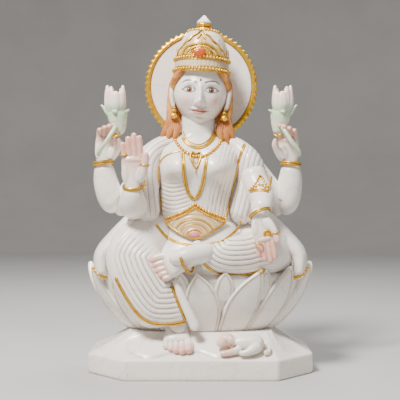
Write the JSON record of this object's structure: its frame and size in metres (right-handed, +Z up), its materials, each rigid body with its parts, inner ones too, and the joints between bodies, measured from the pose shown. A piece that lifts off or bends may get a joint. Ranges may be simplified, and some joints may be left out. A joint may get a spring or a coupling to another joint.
{
  "type": "hindu deity statue",
  "caption": "Seated four-armed marble deity figure with crown and halo, one foot down, on a lotus seat and bevelled plinth, with gilt jewellery.",
  "frame": {"origin": "middle of the plinth's underside", "axes": "+Z up, the figure faces -Y, its left side is towards +X"},
  "size_m": [0.2952, 0.17, 0.4568],
  "materials": {
    "white_marble": "polished translucent white marble",
    "blushed_marble": "polished white marble tinted pink on palms, fingers and toes",
    "gilding": "gold leaf burnished over raised relief",
    "hair_paint": "marble painted ochre, satin",
    "crown_paint": "marble tinted cream and rose, satin",
    "orange_enamel": "orange enamel paint, gloss",
    "rose_enamel": "rose enamel paint, gloss",
    "lotus_tint": "marble tinted pale green at the calyx and pink at the tips",
    "stem_tint": "marble tinted pale green",
    "calf_marble": "polished cream marble with a faint green and pink tint",
    "steel_pin": "plain drawn steel rod"
  },
  "bodies": {
    "root": {"plinth": "white_marble", "lotus_seat": "white_marble", "lotus_petals_outer": "white_marble", "lotus_petals_inner": "white_marble", "hips": "white_marble", "right_leg_drape": "white_marble", "left_leg_drape": "white_marble", "pleat_end": "white_marble", "torso": "white_marble", "shawl_right": "white_marble", "shawl_left": "white_marble", "shawl_tail_right": "white_marble", "shawl_tail_left": "white_marble", "head": "white_marble", "finial": "white_marble", "halo_disc": "white_marble", "front_right_forearm": "white_marble", "front_left_arm": "white_marble", "rear_right_upper_arm": "white_marble", "rear_right_forearm": "white_marble", "rear_left_upper_arm": "white_marble", "rear_left_forearm": "white_marble", "right_foot": "blushed_marble", "left_foot": "blushed_marble", "front_right_hand": "blushed_marble", "front_left_hand": "blushed_marble", "rear_right_hand": "blushed_marble", "rear_left_hand": "blushed_marble", "crown_band_lower": "gilding", "crown_band_upper": "gilding", "crown_arch": "gilding", "crown_top_ring": "gilding", "finial_collar": "gilding", "halo_rim": "gilding", "bangles": "gilding", "armlets": "gilding", "finger_rings": "gilding", "palm_coin": "gilding", "earrings": "gilding", "neck_collar": "gilding", "bead_necklace": "gilding", "pendant": "gilding", "long_mala": "gilding", "waist_belt": "gilding", "sash_trim": "gilding", "shawl_trims": "gilding", "leg_hem_trims": "gilding", "anklets": "gilding", "tail_trims": "gilding", "hair": "hair_paint", "crown_cap": "crown_paint", "crown_jewel": "orange_enamel", "belt_jewel": "rose_enamel", "right_lotus_flower": "lotus_tint", "left_lotus_flower": "lotus_tint", "right_lotus_stem": "stem_tint", "left_lotus_stem": "stem_tint", "crouching_calf": "calf_marble", "steel_dowels": "steel_pin"}
  },
  "joints": []
}
